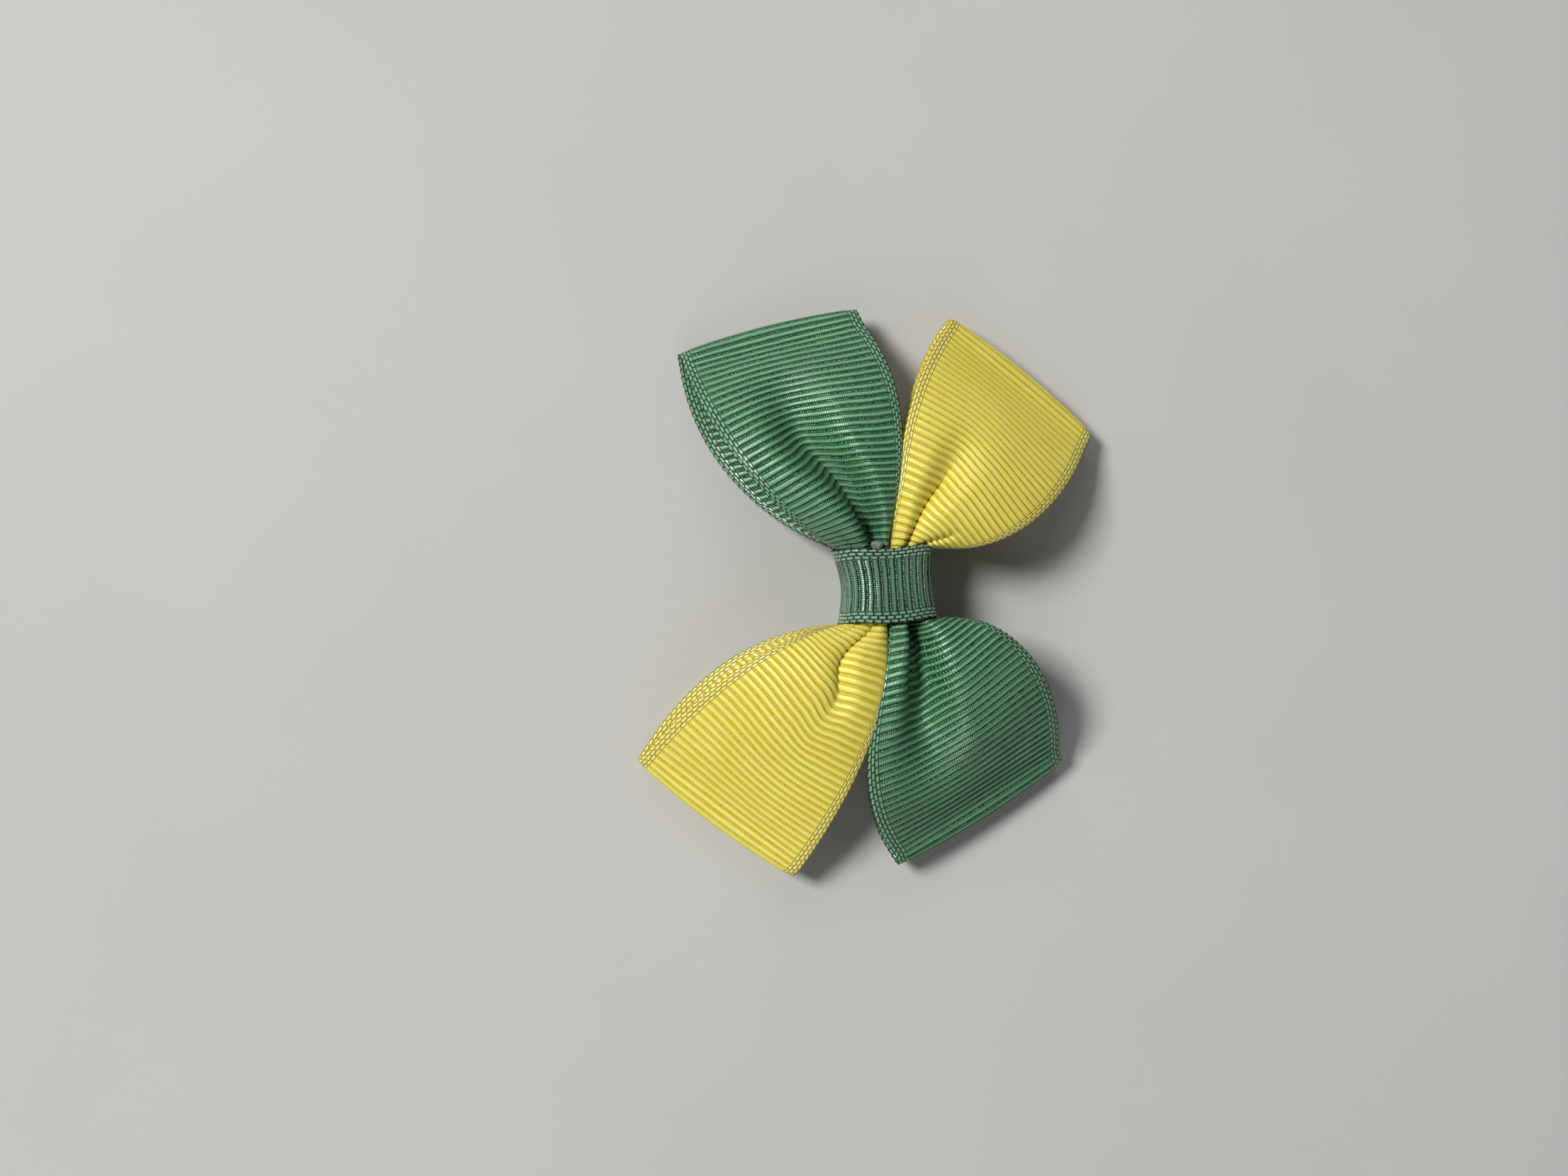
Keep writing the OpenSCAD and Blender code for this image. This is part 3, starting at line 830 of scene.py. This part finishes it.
def dress(node, material, bevel):
    """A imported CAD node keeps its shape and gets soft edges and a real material."""
    obj = NODES[node]
    weld = obj.modifiers.new("weld", "WELD")
    weld.merge_threshold = 0.000002
    edge = obj.modifiers.new("edges", "BEVEL")
    edge.width = bevel
    edge.segments = 3
    edge.limit_method = "ANGLE"
    edge.angle_limit = math.radians(35)
    obj.data.materials.clear()
    obj.data.materials.append(material)
    return obj


# ---------------------------------------------------------------- scene


def make_floor(material):
    """The flat surface that the bow lies on."""
    mesh = bpy.data.meshes.new("floor")
    bm = bmesh.new()
    bmesh.ops.create_grid(bm, x_segments=4, y_segments=4, size=1.2)
    bm.to_mesh(mesh)
    bm.free()
    floor = bpy.data.objects.new("floor", mesh)
    bpy.context.scene.collection.objects.link(floor)
    floor.data.materials.append(material)
    return floor


def area_light(name, place, size, power, colour):
    """A soft square lamp that points at the bow."""
    data = bpy.data.lights.new(name, "AREA")
    data.shape = "SQUARE"
    data.size = size
    data.energy = power
    data.color = colour
    lamp = bpy.data.objects.new(name, data)
    bpy.context.scene.collection.objects.link(lamp)
    lamp.location = place
    way = -Vector(place)
    lamp.rotation_euler = way.to_track_quat("-Z", "Y").to_euler()
    return lamp


def make_lights():
    """A window-like key light from the upper left, three weak soft lights and a dim room."""
    world = bpy.data.worlds.new("studio")
    world.use_nodes = True
    back = world.node_tree.nodes["Background"]
    back.inputs["Color"].default_value = (0.97, 0.98, 1.0, 1.0)
    back.inputs["Strength"].default_value = 0.07
    bpy.context.scene.world = world
    area_light("key", (-0.84, 0.32, 1.0), 0.34, 16.0, (1.0, 0.985, 0.96))
    area_light("right", (1.05, -0.1, 0.75), 0.9, 0.5, (1.0, 0.97, 0.94))
    area_light("above", (-0.3, 1.1, 0.8), 0.9, 3.0, (0.98, 0.99, 1.0))
    area_light("below", (-0.2, -1.1, 0.8), 0.9, 2.5, (0.98, 0.99, 1.0))
    bpy.context.scene.view_settings.view_transform = "Standard"


CAMERA_LEAN = math.radians(12)
CAMERA_AWAY = 0.30


def make_camera():
    """Looks down on the bow's face, a little from its left. Distances are in metres."""
    right = Vector((math.cos(CAMERA_LEAN), 0.0, math.sin(CAMERA_LEAN)))
    up = Vector((0.0, 1.0, 0.0))
    back = Vector((-math.sin(CAMERA_LEAN), 0.0, math.cos(CAMERA_LEAN)))
    knot = Vector((KNOT_X / 1000, KNOT_Y / 1000, WRAP_HIGH.z))
    aim = knot - right * 0.0140 - up * 0.0005
    data = bpy.data.cameras.new("camera")
    data.lens = 54.0
    data.sensor_width = 36.0
    data.clip_start = 0.01
    data.clip_end = 10.0
    camera = bpy.data.objects.new("camera", data)
    bpy.context.scene.collection.objects.link(camera)
    camera.matrix_world = Matrix((
        (right.x, up.x, back.x, aim.x + back.x * CAMERA_AWAY),
        (right.y, up.y, back.y, aim.y + back.y * CAMERA_AWAY),
        (right.z, up.z, back.z, aim.z + back.z * CAMERA_AWAY),
        (0.0, 0.0, 0.0, 1.0)))
    bpy.context.scene.camera = camera
    return camera


# Each ribbon's colours: painted shade for the grooves, its own colour, painted highlight for the
# crests; then the least roughness and how much crest painted highlight it has.
GREEN = ribbon_material("green grosgrain", RIBBON_W, (0.003, 0.036, 0.010),
                        (0.042, 0.212, 0.080), (0.38, 0.74, 0.46), 0.2, 0.85)
YELLOW = ribbon_material("yellow grosgrain", RIBBON_W, (0.70, 0.52, 0.012), (0.94, 0.84, 0.062),
                         (0.98, 0.97, 0.50), 0.28, 0.9)
WRAP = ribbon_material("wrap grosgrain", WRAP_W, (0.002, 0.016, 0.005), (0.012, 0.100, 0.032),
                       (0.46, 0.82, 0.58), 0.04, 0.55)
NICKEL = metal_material("nickel plate", (0.80, 0.79, 0.76), 0.06, (900.0, 60.0, 900.0))
PIN = metal_material("pin steel", (0.60, 0.60, 0.60), 0.24, (300.0, 900.0, 900.0))
WIRE = metal_material("spring wire", (0.47, 0.46, 0.45), 0.3, (900.0, 900.0, 900.0))
GLUE = glue_material("hot-melt glue")
THREAD = thread_material("binding thread")
PAPER = paper_material("paper")

make_loop("green_loop", GREEN_UP, GREEN_DOWN, -1, 1, GREEN)
make_loop("yellow_loop", YELLOW_UP, YELLOW_DOWN, 1, -1, YELLOW)
make_wrap(WRAP)
make_bead(GLUE)
make_spring(WIRE)
dress("clip_upper_arm", NICKEL, 0.00012)
dress("clip_lower_jaw", NICKEL, 0.0001)
dress("clip_hinge_pin", PIN, 0.00008)
dress("clip_glue", GLUE, 0.0002)
dress("binding_thread", THREAD, 0.00002)
make_floor(PAPER)
make_lights()
make_camera()
